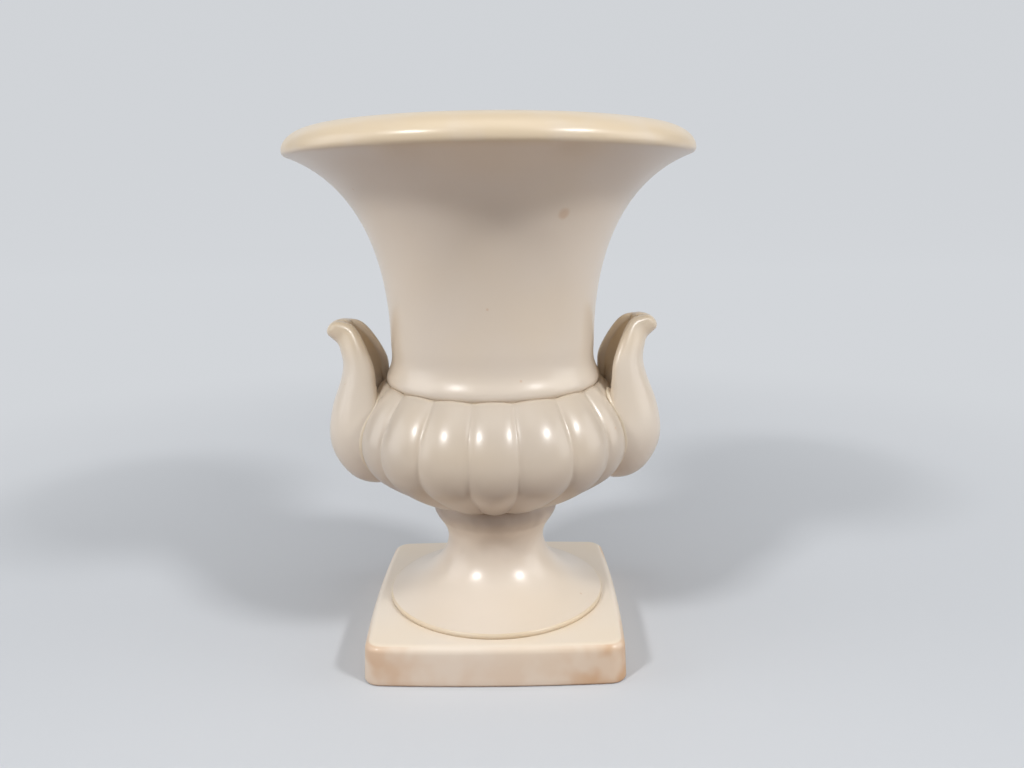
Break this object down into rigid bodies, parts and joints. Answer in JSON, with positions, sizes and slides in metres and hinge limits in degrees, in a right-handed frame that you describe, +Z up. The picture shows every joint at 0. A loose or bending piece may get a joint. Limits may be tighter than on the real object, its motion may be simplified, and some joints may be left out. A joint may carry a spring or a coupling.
{
  "type": "urn vase",
  "caption": "Glazed ceramic urn vase: flared bell neck with a rolled rim over a gadrooned bowl with curled leaf handles, on a waisted pedestal and a square plinth; holds cut flowers.",
  "frame": {"origin": "middle of the plinth's underside, on the vase's axis", "axes": "+Z up along the vase's axis; -Y is the front seen in the picture; the two handles are at +X and -X"},
  "size_m": [0.1564, 0.1564, 0.2083],
  "materials": {
    "ivory_glaze": "satin",
    "slip_seam": "satin"
  },
  "bodies": {
    "root": {"square_plinth": "ivory_glaze", "pedestal_stem": "ivory_glaze", "gadrooned_bowl": "ivory_glaze", "bell_neck": "ivory_glaze", "left_handle": "ivory_glaze", "right_handle": "ivory_glaze", "plinth_slip_joint": "slip_seam", "stem_slip_joint": "slip_seam", "bell_slip_joint": "slip_seam", "left_handle_slip_joint": "slip_seam", "right_handle_slip_joint": "slip_seam"}
  },
  "joints": []
}
